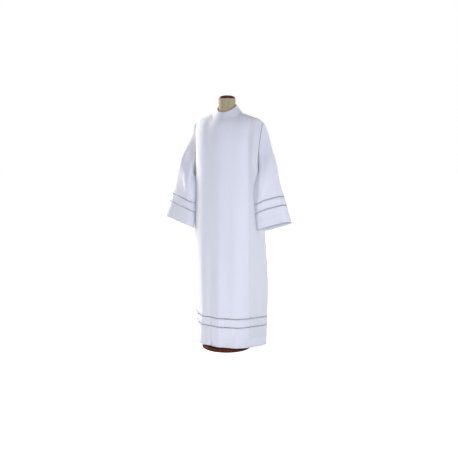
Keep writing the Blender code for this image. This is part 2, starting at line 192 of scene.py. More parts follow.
# %% Rings below the underarm
def body_ring(t, z):
    """Points of the level ring at height z. t runs round it from the middle of the front."""
    t, z = np.broadcast_arrays(t, z)
    row = Ring(*np.moveaxis(spline([r.z for r in BODY_RINGS], BODY_RINGS, z), -1, 0))
    level = np.zeros_like(row.z)
    corners = [
        (0.0, level, row.front_y),
        (T_FOLD, row.fold_x, row.fold_y),
        (T_SIDE, row.side_x, row.side_y),
        (T_REAR, row.rear_x, row.rear_y),
        (T_BACK, level, row.back_y),
        (4 - T_REAR, -row.rear_x, row.rear_y),
        (4 - T_SIDE, -row.side_x, row.side_y),
        (4 - T_FOLD, -row.fold_x, row.fold_y),
    ]
    before = [(knot - 4, x, y) for knot, x, y in corners[-3:]]
    after = [(knot + 4, x, y) for knot, x, y in corners[:3]]
    around = before + corners + after
    places = np.stack([np.stack((x, y), axis=-1) for _, x, y in around])
    place = spline([c[0] for c in around], places, t)
    return vectors(place[..., 0] + row.sway, place[..., 1], z)


hem = body_ring(np.linspace(0, 4, 400), HEM_Z)
print("hem girth", round(float(np.linalg.norm(np.diff(hem, axis=0), axis=1).sum()), 3), "m")


# %% Neckline and shoulder seam
def neckline(angle):
    """Points of the neck seam. The angle is 0 at the middle of the front and pi at the back."""
    rise = (1 - np.cos(angle)) / 2
    z = spline(NECK_RISE, [(level,) for level in NECK_Z], rise)[..., 0]
    return vectors(NECK_X * np.sin(angle), NECK_Y0 - NECK_Y * np.cos(angle), z)


def shoulder(share):
    """Points of the wearer's left shoulder seam, from the neckline (0) to the sleeve (1)."""
    run = [(p[0] - SHOULDER_LINE[0][0]) for p in SHOULDER_LINE]
    return spline([r / run[-1] for r in run], SHOULDER_LINE, share)


def top_edge(t, back):
    """Where each column t of the front or the back ends: on the neckline or the shoulder seam."""
    angle = np.minimum(np.abs(t) / T_NECK, 1) * math.pi / 2
    on_neck = neckline(math.pi - angle if back else angle)
    on_shoulder = shoulder(np.clip((np.abs(t) - T_NECK) / (1 - T_NECK), 0, 1))
    point = np.where((np.abs(t) <= T_NECK)[..., None], on_neck, on_shoulder)
    return point * mirror(t)


def mirror(t):
    """A factor that turns the wearer's left into the right where t is negative."""
    return vectors(np.where(t < 0, -1.0, 1.0), 1.0, 1.0)


print("neck girth", round(float(2 * math.pi * math.hypot(NECK_X, NECK_Y) / math.sqrt(2)), 3), "m")

# %% Yoke
NECK_EASE, NECK_BEND, ARMHOLE_FROM = 0.90, 6, 0.50
# How the cloth arrives: level and up, over the shoulder's ridge and at the neck.
YOKE_OVER, YOKE_TO_NECK = (0.30, 0.10), (0.15, 0.45)
YOKE_DIP = 0.02


def ridge(t, back):
    """Where column t would end if the shoulder seam ran on across the neck in one calm line."""
    across = np.abs(t)
    line = shoulder(np.clip((across - T_NECK) / (1 - T_NECK), 0, 1))
    x = np.where(across < T_NECK, NECK_X * across / T_NECK, line[..., 0])
    middle = neckline(np.array(math.pi if back else 0.0))
    ease = smooth(across / NECK_EASE)
    y = middle[1] + (line[..., 1] - middle[1]) * ease
    z = middle[2] + (line[..., 2] - middle[2]) * ease
    return vectors(x, y, z) * mirror(t)


def yoke(t, w, back):
    """Points above the underarm. t is -1..1 across the piece, and w runs up from 0 to 1."""
    t, w = np.broadcast_arrays(t, w)
    way = 1.0 if back else -1.0
    ring_t = 2 - t if back else t
    start = body_ring(ring_t, UNDERARM_Z)
    end = ridge(t, back)
    height = (end - start)[..., 2:]
    rise = (start - body_ring(ring_t, UNDERARM_Z - YOKE_DIP)) / YOKE_DIP * height
    edge = [np.array(pull) * mirror(t) for pull in (ARMHOLE_BACK if back else ARMHOLE_FRONT)]
    outer = smooth((np.abs(t) - ARMHOLE_FROM) / (1 - ARMHOLE_FROM))[..., None]
    on_neck = 1 - smooth(np.abs(t) / NECK_EASE)[..., None]
    over = np.array((0.0, -way * YOKE_OVER[0], YOKE_OVER[1]))
    to_neck = vectors(0.0, -way * YOKE_TO_NECK[0], height[..., 0] * YOKE_TO_NECK[1])
    pull0 = rise * (1 - outer**2) + edge[0] * outer**2
    pull1 = over * (1 - on_neck) + to_neck * on_neck
    pull1 = pull1 * (1 - outer**3) + edge[1] * outer**3
    w = w[..., None]
    return hermite(start, end, pull0, pull1, w) + (top_edge(t, back) - end) * w**NECK_BEND


print("yoke height in front", round(float(yoke(0, 1, False)[2] - UNDERARM_Z), 3), "m")


# %% The whole surface
def body_surface(t, v, back):
    """The robe's middle surface: v is 0 at the hem, 1 at the underarm and 2 at the top edge."""
    t, v = np.broadcast_arrays(t, v)
    low = body_ring(2 - t if back else t, HEM_Z + np.minimum(v, 1) * (UNDERARM_Z - HEM_Z))
    return np.where((v <= 1)[..., None], low, yoke(t, np.maximum(v - 1, 0), back))


def surface_frame(t, v, back):
    """The point, the unit tangent along t and the unit outward normal of the body's surface."""
    t, v = np.broadcast_arrays(t, v)
    step = 1e-3
    across = body_surface(t + step, v, back) - body_surface(t - step, v, back)
    above = body_surface(t, np.minimum(v + step, 2), back)
    up = above - body_surface(t, np.maximum(v - step, 0), back)
    way = -1.0 if back else 1.0
    return body_surface(t, v, back), unit(across), unit(np.cross(across, up)) * way


print("back from hem to neck", round(float(body_surface(0, 2, True)[2] - HEM_Z), 3), "m")

# %% [markdown]
# ## Creases
# Pressed poly-cotton falls in long, shallow folds: a few millimetres deep and several centimetres
# wide. A sculptor would stroke them on with a brush. Here each one is a row of a table with its own
# size, and a bell curve across it and a soft start and end along it give the same stroke.

# %% Folds
Fold = namedtuple("Fold", "start end place0 place1 width height")
# A fold runs up from start to end, and its crest goes from place0 to place1 on the way. On the body
# start and end are heights and places are metres round it from the middle of the front or back.
FOLD_FADE = 0.30
FRONT_FOLDS = (
    Fold(-0.40, 0.95, 0.006, 0.012, 0.026, 0.0055),
    Fold(-0.35, 0.80, -0.058, -0.050, 0.026, -0.0050),
    Fold(-0.30, 0.62, 0.062, 0.066, 0.040, -0.0030),
    Fold(0.10, 1.05, 0.118, 0.108, 0.030, 0.0025),
    Fold(0.30, 1.30, -0.012, 0.014, 0.030, 0.0012),
    Fold(0.62, 1.36, -0.088, -0.070, 0.036, 0.0010),
    Fold(0.75, 1.36, 0.075, 0.062, 0.036, -0.0008),
    Fold(0.80, 1.52, 0.164, 0.162, 0.036, 0.0070),
    Fold(0.90, 1.50, 0.225, 0.238, 0.024, -0.0090),
    Fold(-0.25, 0.70, -0.118, -0.122, 0.024, 0.0030),
    Fold(-0.12, 0.30, -0.150, -0.110, 0.011, 0.0045),
    Fold(-0.10, 0.24, -0.085, -0.112, 0.010, -0.0040),
    Fold(-0.14, 0.34, -0.030, -0.052, 0.010, 0.0032),
    Fold(-0.12, 0.28, 0.030, 0.018, 0.010, -0.0018),
    Fold(-0.10, 0.26, 0.110, 0.126, 0.010, 0.0018),
    Fold(-0.30, 1.10, 0.262, 0.250, 0.022, -0.0030),
    Fold(-0.20, 0.90, -0.258, -0.250, 0.024, -0.0032),
)
BACK_FOLDS = (
    Fold(-0.40, 1.25, 0.010, -0.008, 0.034, 0.0060),
    Fold(-0.35, 1.05, 0.072, 0.050, 0.028, -0.0050),
    Fold(-0.30, 1.30, -0.078, -0.060, 0.032, -0.0045),
    Fold(-0.35, 0.90, 0.135, 0.118, 0.030, 0.0060),
    Fold(-0.30, 0.75, -0.140, -0.132, 0.030, 0.0055),
    Fold(0.55, 1.44, 0.092, 0.070, 0.036, 0.0040),
    Fold(0.70, 1.46, -0.096, -0.066, 0.034, 0.0036),
    Fold(-0.30, 1.00, 0.200, 0.188, 0.024, -0.0045),
    Fold(-0.25, 0.95, -0.204, -0.190, 0.024, -0.0040),
)


def relief(place, along, folds, scale=1.0, lap=None):
    """How far the folds lift each point. scale turns places into metres, and lap closes a loop."""
    total = np.zeros(np.broadcast(place, along).shape)
    for fold in folds:
        share = (along - fold.start) / (fold.end - fold.start)
        aside = place - fold.place0 - (fold.place1 - fold.place0) * share
        if lap:
            aside = aside - lap * np.round(aside / lap)
        stroke = smooth(share / FOLD_FADE) * smooth((1 - share) / FOLD_FADE)
        total = total + fold.height * np.exp(-((aside * scale / fold.width) ** 2)) * stroke
    return total


print(len(FRONT_FOLDS) + len(BACK_FOLDS), "creases on the body")

# %% [markdown]
# ## Openwork rows and hems
# Drawn-thread work is made by pulling out a few weft threads and bunching the warp threads that are
# left into the rungs of a ladder. So the cloth really has a gap there, with thread bars across it.
# The thread tension puckers the cloth beside each row a little.

# %% Where the rows of cloth go
LADDER_TALL = 6.4 * MM
HEM_LADDERS, HEM_TURN = (0.131, 0.186), 0.050
HEM_RIDGE, HEM_RIDGE_WIDE = 0.0008, 0.006
CUFF_LADDERS, CUFF_TURN = (0.105, 0.160), 0.050
PUCKER_REACH, PUCKER_HIGH, PUCKER_LONG = 0.024, 0.0023, 0.027
# Two slower waves, whose lengths share no factor with the ripple's, shift and weaken it unevenly.
PUCKER_SHIFT, PUCKER_SHIFT_RATE = 1.7, 0.23
PUCKER_LEAST, PUCKER_SWELL, PUCKER_SWELL_RATE = 0.6, 0.4, 0.137


def stations(marks, step):
    """Values from the first mark to the last, about step apart, with every mark among them."""
    spans = zip(marks[:-1], marks[1:])
    parts = [np.linspace(a, b, max(1, math.ceil((b - a) / step)), endpoint=False) for a, b in spans]
    return np.concatenate([*parts, marks[-1:]])


def hem_stations(ladders, turn, end, step):
    """Distances from a hem's edge, and the number of the row below each openwork gap."""
    marks = [0.0, turn]
    for middle in ladders:
        marks += [middle - LADDER_TALL / 2, middle + LADDER_TALL / 2]
    rows = stations(marks + [end], step)
    gaps = [int(np.abs(rows - middle + LADDER_TALL / 2).argmin()) for middle in ladders]
    return rows, gaps


def pucker(place, distance, ladders):
    """The ripple beside the openwork rows, uneven along them."""
    turn = 2 * math.pi * place / PUCKER_LONG
    ripple = np.sin(turn + PUCKER_SHIFT * np.sin(turn * PUCKER_SHIFT_RATE))
    ripple = ripple * (PUCKER_LEAST + PUCKER_SWELL * np.sin(turn * PUCKER_SWELL_RATE + 1))
    near = sum(np.exp(-(((distance - middle) / PUCKER_REACH) ** 2)) for middle in ladders)
    return PUCKER_HIGH * ripple * near


print("openwork", [round(middle / MM) for middle in HEM_LADDERS], "mm above the hem")

# %% [markdown]
# ## The front
# A maker folds each pleat under, presses it and bastes it. The cross-section follows that path: the
# wide panel on top, a turn at the pleat's edge, back underneath, and out again to the side seam.
# The layers keep a small distance, which grows to the hem where nothing holds them. At the shoulder
# they come together, where they are sewn into the seam.

# %% The pleated section
# How far each pleat is folded under, in t, and the distance between its layers at hem and shoulder.
PLEAT_UNDER_T, PLEAT_STEP_HEM, PLEAT_STEP_TOP = 0.165, 0.0042, 0.0024
# The distance in the seam itself, and how far below it the layers start to close, in v.
PLEAT_SEWN, SEWN_REACH = 0.0010, 0.09
TURN_STEPS, PANEL_POINTS, UNDER_POINTS, SIDE_POINTS = 6, 52, 8, 30
SIDE_SHORT = 0.0006
PANEL_T = np.linspace(0, T_FOLD, PANEL_POINTS)
SIDE_T = np.linspace(T_FOLD, 1 - SIDE_SHORT, SIDE_POINTS)


def pleat_path():
    """From the wearer's right side seam to the left: ring parameter, sideways shift and layer."""
    turn = np.linspace(0, math.pi, TURN_STEPS + 1)
    inner_t = T_FOLD - PLEAT_UNDER_T
    under = np.linspace(inner_t, T_FOLD, UNDER_POINTS)[1:-1]
    half = [(t, 0.0, 2.0) for t in PANEL_T[:-1]]
    half += [(T_FOLD, math.sin(a) / 2, 1.5 + math.cos(a) / 2) for a in turn]
    half += [(t, 0.0, 1.0) for t in under[::-1]]
    half += [(inner_t, -math.sin(a) / 2, 0.5 + math.cos(a) / 2) for a in turn]
    half += [(t, 0.0, 0.0) for t in under]
    half += [(t, 0.0, 0.0) for t in SIDE_T]
    mirrored = [(-t, -shift, layer) for t, shift, layer in reversed(half[1:])]
    return np.array(mirrored + half)


print("front section has", len(pleat_path()), "points")


# %% Rows of the front and back
BODY_STEP, YOKE_ROWS = 0.008, 46
BODY_TALL = UNDERARM_Z - HEM_Z
# The panel lies on the body in the middle, and rises to the top layer on its way to the pleats.
LIFT_START, LIFT_RUN = 0.30, 0.28
# Creases fade out this near the side seams and the top edge, in t and v.
SEAM_CALM, TOP_CALM = 0.10, 0.22
ROUND_SAMPLES = 41


def body_rows():
    """The surface parameter v of each row, and the rows below the openwork gaps."""
    rows, gaps = hem_stations(HEM_LADDERS, HEM_TURN, BODY_TALL, BODY_STEP)
    return np.concatenate((rows / BODY_TALL, 1 + np.linspace(0, 1, YOKE_ROWS)[1:])), gaps


def round_body(t, v, back):
    """How far each column lies from the middle of the front or back, in metres round the body."""
    fine = np.linspace(0, 1, ROUND_SAMPLES)
    lines = body_surface(fine[None], v[:, None], back)
    run = np.cumsum(np.linalg.norm(np.diff(lines, axis=1), axis=2), axis=1)
    run = np.concatenate((np.zeros((len(v), 1)), run), axis=1)
    return np.stack([np.interp(np.abs(t), fine, row) for row in run]) * np.sign(t)


def body_lift(t, v, z, back):
    """How far creases, puckers and the hem's raw edge inside lift each point."""
    place = round_body(t, v, back)
    lift = relief(place, z, BACK_FOLDS if back else FRONT_FOLDS)
    lift = lift * smooth((1 - np.abs(t)) / SEAM_CALM) * smooth((2 - v[:, None]) / TOP_CALM)
    doubled = HEM_RIDGE * np.exp(-(((z - HEM_Z - HEM_TURN) / HEM_RIDGE_WIDE) ** 2))
    return lift + doubled + pucker(place, z - HEM_Z, HEM_LADDERS)


def front_grid(v):
    """The front's points, row by row, with the layers of its pleats off one another."""
    t, shift, layer = pleat_path().T
    step = PLEAT_STEP_HEM + (PLEAT_STEP_TOP - PLEAT_STEP_HEM) * smooth(v / 2)
    sewn = smooth((v - 2 + SEWN_REACH) / SEWN_REACH)
    step = (step - (PLEAT_STEP_TOP - PLEAT_SEWN) * sewn)[:, None]
    here, across, out = surface_frame(t[None], v[:, None], False)
    raised = smooth((np.abs(t) - T_FOLD + PLEAT_UNDER_T + LIFT_START) / LIFT_RUN)
    lift = layer * raised * step + body_lift(t, v, here[..., 2], False)
    return here + across * (shift * step)[..., None] + out * lift[..., None]


def back_grid(v):
    """The back's points, row by row, in as many columns as the front's panel and sides."""
    t = np.concatenate((SIDE_T[::-1], PANEL_T[-2::-1]))
    t = np.concatenate((t, -t[-2::-1]))
    here, _, out = surface_frame(t[None], v[:, None], True)
    return here + out * body_lift(t, v, here[..., 2], True)[..., None]


body_v, body_gaps = body_rows()
front_rows, back_rows = front_grid(body_v), back_grid(body_v)
print("front grid", front_rows.shape[:2], "back grid", back_rows.shape[:2])

# %% [markdown]
# ## The sleeves
# A set-in sleeve starts at the armhole and falls in a bell to a wide cuff. Empty, it hangs flat in
# front and behind and turns sharply at its edges, so its loops are fuller than ellipses. They are
# spaced by distance from the cuff, measured down each column, so that the openwork keeps level with
# the edge.

# %% Sleeve sizes
# How far out the sleeve starts from the armhole at the shoulder and at the underarm, how clear it
# hangs of the robe's side, and the gap that every seam keeps.
SLEEVE_STEP, SLEEVE_GAP, SEAM_GAP = (0.0010, 0.0042), 0.0060, 0.0005
# A ring has its share of the way down the sleeve, its inner and outer edge, and half its depth. Its
# turn is how far the underarm seam has swung round there.
SleeveRing = namedtuple("SleeveRing", "share inner outer half_depth turn")
SLEEVE_RINGS = (
    SleeveRing(0.34, (0.224, -0.038, 1.045), (0.304, 0.042, 1.230), 0.060, 0.45),
    SleeveRing(0.66, (0.222, -0.037, 0.905), (0.3665, 0.0245, 1.040), 0.054, 0.30),
    SleeveRing(1.00, (0.2285, -0.022, 0.767), (0.4435, 0.000, 0.832), 0.042, 0.0),
)
SLEEVE_TILT = math.radians(20)
# The power on the sine and cosine of a loop: 1 makes an ellipse, and less makes it fuller.
SLEEVE_FULL = 0.75
SLEEVE_HEAD = (0.35, 0.10, -0.50)
# The sleeve is held off the robe's side from a band above the underarm down, and not at its head.
UNDERARM_BAND, UNDERARM_FADE, HEAD_FADE, FLANK_ROUND = 0.10, 0.04, 0.08, 0.006
FLANK_POINTS = 10
SLEEVE_COLUMNS, SLEEVE_FINE, SLEEVE_ROWS = 120, 90, 62
SLEEVE_HEMMED = 0.20


def armhole(a, side):
    """The armhole loop: a is 0 at the underarm, 0.25 at the front, 0.5 at the shoulder."""
    w = 1 - np.abs(1 - 2 * a)
    return np.where((a > 0.5)[..., None], yoke(side, w, True), yoke(side, w, False))


def sleeve_loop(row, a, side):
    """The loop of a sleeve at one row of the table."""
    inner, outer = np.array(row.inner), np.array(row.outer)
    middle, half = (inner + outer) / 2, (outer - inner) / 2
    level = unit(np.array((-half[1], half[0], 0.0)))
    front = -level * math.cos(SLEEVE_TILT) + np.array((0, 0, math.sin(SLEEVE_TILT)))
    angle = (2 * math.pi * a - row.turn * (1 + np.cos(2 * math.pi * a)) / 2)[..., None]
    across, out = (np.sign(w) * np.abs(w) ** SLEEVE_FULL for w in (np.cos(angle), np.sin(angle)))
    point = middle - half * across + front * row.half_depth * out
    return point * (side, 1, 1)


def flank(y, z):
    """How far out the robe's side is at each depth y."""
    ring = body_ring(np.linspace(T_FOLD, T_REAR, FLANK_POINTS)[:, None], z[None])
    return np.array([np.interp(y[i], ring[:, i, 1], ring[:, i, 0]) for i in range(len(y))])


def sleeve_row(a, s, side):
    """One loop of a sleeve. a runs round it as in armhole(), s from the armhole to the cuff."""
    top = ((1 - np.cos(2 * math.pi * a)) / 2)[..., None]
    head = np.array(SLEEVE_HEAD) * (side, 1, 1)
    aside = SLEEVE_STEP[0] * top + SLEEVE_STEP[1] * (1 - top)
    start = armhole(a, side) + aside * (side, 0, 0) + unit(head) * SEAM_GAP
    knots = [0.0] + [row.share for row in SLEEVE_RINGS]
    loops = np.stack([start] + [sleeve_loop(row, a, side) for row in SLEEVE_RINGS])
    first = (loops[1] - start) / knots[1]
    point = spline(knots, loops, s, first * (1 - top) + head * top)
    below = smooth((UNDERARM_Z + UNDERARM_BAND - point[:, 2]) / UNDERARM_FADE) * smooth(s / HEAD_FADE)
    kept = flank(point[:, 1], np.minimum(point[:, 2], UNDERARM_Z)) + SLEEVE_GAP
    over = side * point[:, 0] - kept
    point[:, 0] += side * below * ((np.hypot(over, FLANK_ROUND) + over) / 2 - over)
    return point


# %% Sleeve creases and loops
# On a sleeve start and end are shares of its length up from the cuff, and places are shares of a
# turn: 0 at the underarm, 0.25 in front, 0.5 outside.
SLEEVE_FOLDS = {
    1.0: (
        Fold(-0.10, 1.15, -0.030, 0.090, 0.018, 0.0080),
        Fold(0.30, 1.10, 0.140, 0.300, 0.010, -0.0015),
        Fold(0.55, 1.30, 0.115, 0.340, 0.026, 0.0090),
        Fold(-0.30, 0.80, 0.330, 0.400, 0.034, 0.0045),
        Fold(0.10, 1.05, 0.440, 0.430, 0.030, -0.0035),
        Fold(-0.40, 0.70, 0.240, 0.270, 0.030, -0.0030),
        Fold(0.05, 1.00, 0.620, 0.590, 0.026, 0.0045),
        Fold(-0.30, 0.85, 0.740, 0.690, 0.028, -0.0055),
        Fold(0.10, 1.05, 0.860, 0.760, 0.022, 0.0040),
    ),
    -1.0: (
        Fold(-0.20, 1.10, 0.030, 0.040, 0.026, 0.0110),
        Fold(0.40, 1.20, 0.100, 0.150, 0.030, 0.0130),
        Fold(0.35, 1.15, 0.230, 0.300, 0.030, -0.0080),
        Fold(-0.35, 0.62, 0.350, 0.330, 0.036, 0.0040),
        Fold(0.20, 1.10, 0.455, 0.470, 0.026, -0.0040),
        Fold(-0.30, 0.60, 0.210, 0.230, 0.030, -0.0030),
        Fold(0.00, 0.95, 0.600, 0.620, 0.028, 0.0050),
        Fold(-0.30, 0.90, 0.720, 0.700, 0.026, -0.0050),
        Fold(0.15, 1.05, 0.870, 0.770, 0.024, 0.0035),
    ),
}
SLEEVE_SEAM_FADE = 0.14


def sleeve_grid(side):
    """The sleeve's rows from the cuff up, and the rows below the openwork gaps."""
    a = np.linspace(0, 1, SLEEVE_COLUMNS, endpoint=False)[:: int(side)]
    fine = np.stack([sleeve_row(a, s, side) for s in np.linspace(1, 0, SLEEVE_FINE)])
    run = np.cumsum(np.linalg.norm(np.diff(fine, axis=0), axis=2), axis=0)
    run = np.concatenate((np.zeros((1, len(a))), run))
    near, gaps = hem_stations(CUFF_LADDERS, CUFF_TURN, SLEEVE_HEMMED, BODY_STEP)
    far = np.linspace(0, 1, SLEEVE_ROWS)[1:, None] * (run[-1] - SLEEVE_HEMMED) + SLEEVE_HEMMED
    distance = np.concatenate((np.repeat(near[:, None], len(a), axis=1), far))
    rows = np.empty((len(distance), len(a), 3))
    for c in range(len(a)):
        for axis in range(3):
            rows[:, c, axis] = np.interp(distance[:, c], run[:, c], fine[:, c, axis])
    along = distance / run[-1]
    girth = np.linalg.norm(rows - np.roll(rows, 1, axis=1), axis=2).sum(axis=1)[:, None]
    lift = relief(a[None], along, SLEEVE_FOLDS[side], girth, 1.0)
    lift = lift * smooth((1 - along) / SLEEVE_SEAM_FADE) + pucker(a * girth, distance, CUFF_LADDERS)
    return rows + normals(rows, True) * lift[..., None], gaps


def normals(rows, loop):
    """The unit outward normal at each point of a grid whose rows go up."""
    across = np.gradient(rows, axis=1)
    if loop:
        across = np.roll(rows, -1, axis=1) - np.roll(rows, 1, axis=1)
    return unit(np.cross(across, np.gradient(rows, axis=0)))


SIDES = {1.0: "left", -1.0: "right"}
sleeves = {side: sleeve_grid(side) for side in SIDES}
print("sleeve grid", sleeves[1.0][0].shape[:2])

# %% [markdown]
# ## The collar
# The band collar is a strip sewn upright into the neck seam. It leans in to the neck, low in front
# and high behind.

# %% Collar
COLLAR_R, COLLAR_Y0, COLLAR_FRONT_Z, COLLAR_BACK_Z = 0.0600, 0.009, 1.502, 1.557
COLLAR_TUCK = 0.004
# How the collar leaves its foot and arrives at its top, as shares of the straight way between them.
COLLAR_LEAN, COLLAR_STAND = (1.0, 1.0, 0.75), (0.7, 0.7, 1.25)


def collar_grid(columns=144, rows=16):
    """The collar's rows, from a little below the neck seam to the top edge."""
    angle = np.linspace(0, 2 * math.pi, columns, endpoint=False)
    foot = neckline(angle)
    rise = (1 - np.cos(angle)) / 2
    top_z = COLLAR_FRONT_Z + (COLLAR_BACK_Z - COLLAR_FRONT_Z) * np.sin(rise * math.pi / 2)
    top = vectors(COLLAR_R * np.sin(angle), COLLAR_Y0 - COLLAR_R * np.cos(angle), top_z)
    reach = top - foot
    shares = np.linspace(0, 1, rows)
    made = [hermite(foot, top, reach * COLLAR_LEAN, reach * COLLAR_STAND, s) for s in shares]
    return np.stack([foot - (0, 0, COLLAR_TUCK)] + made)


print("collar grid", collar_grid().shape[:2])

# %% [markdown]
# ## Finishes
# Each finish is named for the real thing. Cloth colours are given as the sRGB hex code that a dyer's
# card would show, and one function turns them to the linear values that the renderer adds up.


# %% Colour and node helpers
def linear(code):
    """The linear colour of an sRGB hex code."""
    shares = [int(code[i : i + 2], 16) / 255 for i in (0, 2, 4)]
    return (*[c / 12.92 if c <= 0.04045 else ((c + 0.055) / 1.055) ** 2.4 for c in shares], 1.0)


def add_node(tree, kind, inputs, **settings):
    """Adds a node. Each input is a value or another node's output."""
    node = tree.nodes.new("ShaderNode" + kind)
    for name, value in settings.items():
        setattr(node, name, value)
    for name, value in inputs.items():
        if isinstance(value, bpy.types.NodeSocket):
            tree.links.new(value, node.inputs[name])
        else:
            node.inputs[name].default_value = value
    return node


def new_finish(name, roughness, ior):
    """A finish with its Principled shader, which the cell then dresses."""
    finish = bpy.data.materials.new(name)
    finish.use_nodes = True
    shader = finish.node_tree.nodes["Principled BSDF"]
    shader.inputs["Roughness"].default_value = roughness
    shader.inputs["IOR"].default_value = ior
    return finish, finish.node_tree, shader


def waves_per_metre(spacing):
    """The Wave texture's scale for bands this far apart: at scale 1 they are pi/10 apart."""
    return math.pi / 10 / spacing


print("mid grey is", round(linear("808080")[0], 3))

# %% [markdown]
# ## Woven poly-cotton
# The robe is a plain-weave poly-cotton poplin, calendered smooth. Its threads are 0.3 mm apart, too
# fine to show, so the weave is drawn four times as coarse, and only as a faint bump. What the eye does
# see is the slub, where a thread runs thick for a few centimetres, and the soft unevenness that
# ironing leaves, so both have a pattern of their own. The side panels and the back hang in a single
# layer. Above the doubled hem they get painted shade: a grey tone, stored on the points and multiplied
# into the colour, which stands in for the shade on the side panels set back under the pleats. No light
# passes through this finish.

# %% White poly-cotton poplin
THREAD_SPACING = 1.2 * MM
SLUB_LONG, SLUB_THICK = 30 * MM, 2.5 * MM
IRONED_PATCH = 60 * MM
WEAVE_HIGH, IRONED_HIGH = 0.08 * MM, 1.1 * MM
# The grey that painted shade multiplies into the cloth's colour.
PAINTED_SHADE_TONE = "f9f9f6"


def poplin(name, light, shade):
    """Poplin between two tones, for the cloth itself or for its drawn threads."""
    finish, tree, shader = new_finish(name, 0.82, 1.46)
    cut = add_node(tree, "Attribute", {}, attribute_name="cut").outputs["Vector"]
    place = add_node(tree, "TexCoord", {}).outputs["Object"]
    scale = waves_per_metre(THREAD_SPACING)
    threads = [
        add_node(tree, "TexWave", {"Vector": cut, "Scale": scale}, bands_direction=way).outputs["Fac"]
        for way in ("X", "Y")
    ]
    weave = add_node(tree, "Math", {0: threads[0], 1: threads[1]}, operation="MULTIPLY")
    slub_size = (1 / SLUB_LONG, 1 / SLUB_THICK, 1)
    stretched = add_node(tree, "Mapping", {"Vector": cut, "Scale": slub_size})
    slub = add_node(tree, "TexNoise", {"Vector": stretched.outputs["Vector"], "Scale": 1, "Detail": 2})
    ironed = add_node(tree, "TexNoise", {"Vector": place, "Scale": 1 / IRONED_PATCH, "Detail": 2})
    colour = add_node(
        tree,
        "Mix",
        {"Factor": slub.outputs["Fac"], "A": linear(shade), "B": linear(light)},
        data_type="RGBA",
    )
    # Painted shade: where a piece stores a share of 1, the colour is multiplied by a grey tone.
    painted_shade_share = add_node(tree, "Attribute", {}, attribute_name="painted shade share").outputs["Fac"]
    shade_inputs = {"Factor": painted_shade_share, "A": colour.outputs["Result"], "B": linear(PAINTED_SHADE_TONE)}
    shaded_colour = add_node(tree, "Mix", shade_inputs, data_type="RGBA", blend_type="MULTIPLY")
    tree.links.new(shaded_colour.outputs["Result"], shader.inputs["Base Color"])
    soft = add_node(tree, "Bump", {"Height": ironed.outputs["Fac"], "Distance": IRONED_HIGH})
    fine = {"Height": weave.outputs[0], "Distance": WEAVE_HIGH, "Normal": soft.outputs["Normal"]}
    bump = add_node(tree, "Bump", fine)
    tree.links.new(bump.outputs["Normal"], shader.inputs["Normal"])
    shader.inputs["Sheen Weight"].default_value = 0.15
    shader.inputs["Sheen Roughness"].default_value = 0.5
    return finish


white_poplin = poplin("poly-cotton poplin", "e6e7ee", "e0e2ea")
# The drawn warp threads are the cloth's own white threads; their grey is painted shade, standing in for
# the shade in the bunched threads and in the gaps behind them.
shaded_warp_thread = poplin("drawn warp threads with painted shade", "c8cad0", "bcbfc7")
print("made", white_poplin.name, "and", shaded_warp_thread.name)

# %% [markdown]
# ## Linen
# The form is covered in natural linen stretched over padding. Flax yarn is uneven, so the weave shows
# as lighter and darker threads. They are 0.9 mm apart and drawn at 1.4 mm.

# %% Natural linen
FLAX_SPACING, FLAX_RUN, FLAX_HIGH = 1.4 * MM, 18 * MM, 0.2 * MM


def natural_linen():
    """Linen with yarns that run both ways."""
    finish, tree, shader = new_finish("natural linen", 0.9, 1.5)
    place = add_node(tree, "TexCoord", {}).outputs["Object"]
    yarns = []
    fine, long = 1 / FLAX_SPACING, 1 / FLAX_RUN
    for size in ((long, long, fine), (fine, fine, long)):
        stretched = add_node(tree, "Mapping", {"Vector": place, "Scale": size})
        yarns.append(add_node(tree, "TexNoise", {"Vector": stretched.outputs["Vector"], "Scale": 1}))
    pair = {0: yarns[0].outputs["Fac"], 1: yarns[1].outputs["Fac"]}
    both = add_node(tree, "Math", pair, operation="ADD")
    half = add_node(tree, "Math", {0: both.outputs[0], 1: 0.5}, operation="MULTIPLY")
    ramp = add_node(tree, "ValToRGB", {"Fac": half.outputs[0]})
    ramp.color_ramp.elements[0].position, ramp.color_ramp.elements[1].position = 0.36, 0.62
    ramp.color_ramp.elements[0].color = linear("8f8664")
    ramp.color_ramp.elements[1].color = linear("c6ba95")
    tree.links.new(ramp.outputs["Color"], shader.inputs["Base Color"])
    bump = add_node(tree, "Bump", {"Height": half.outputs[0], "Distance": FLAX_HIGH})
    tree.links.new(bump.outputs["Normal"], shader.inputs["Normal"])
    return finish


linen = natural_linen()
print("made", linen.name)

# %% [markdown]
# ## Varnished mahogany
# Mahogany is turned on a lathe, stained dark and varnished. The grain runs straight through the piece
# in streaks a few millimetres wide. The varnish is thin and dull here, so its coat is weak and the wood
# shines little.

# %% Varnished mahogany
GRAIN_WIDE, GRAIN_LONG = 5 * MM, 120 * MM


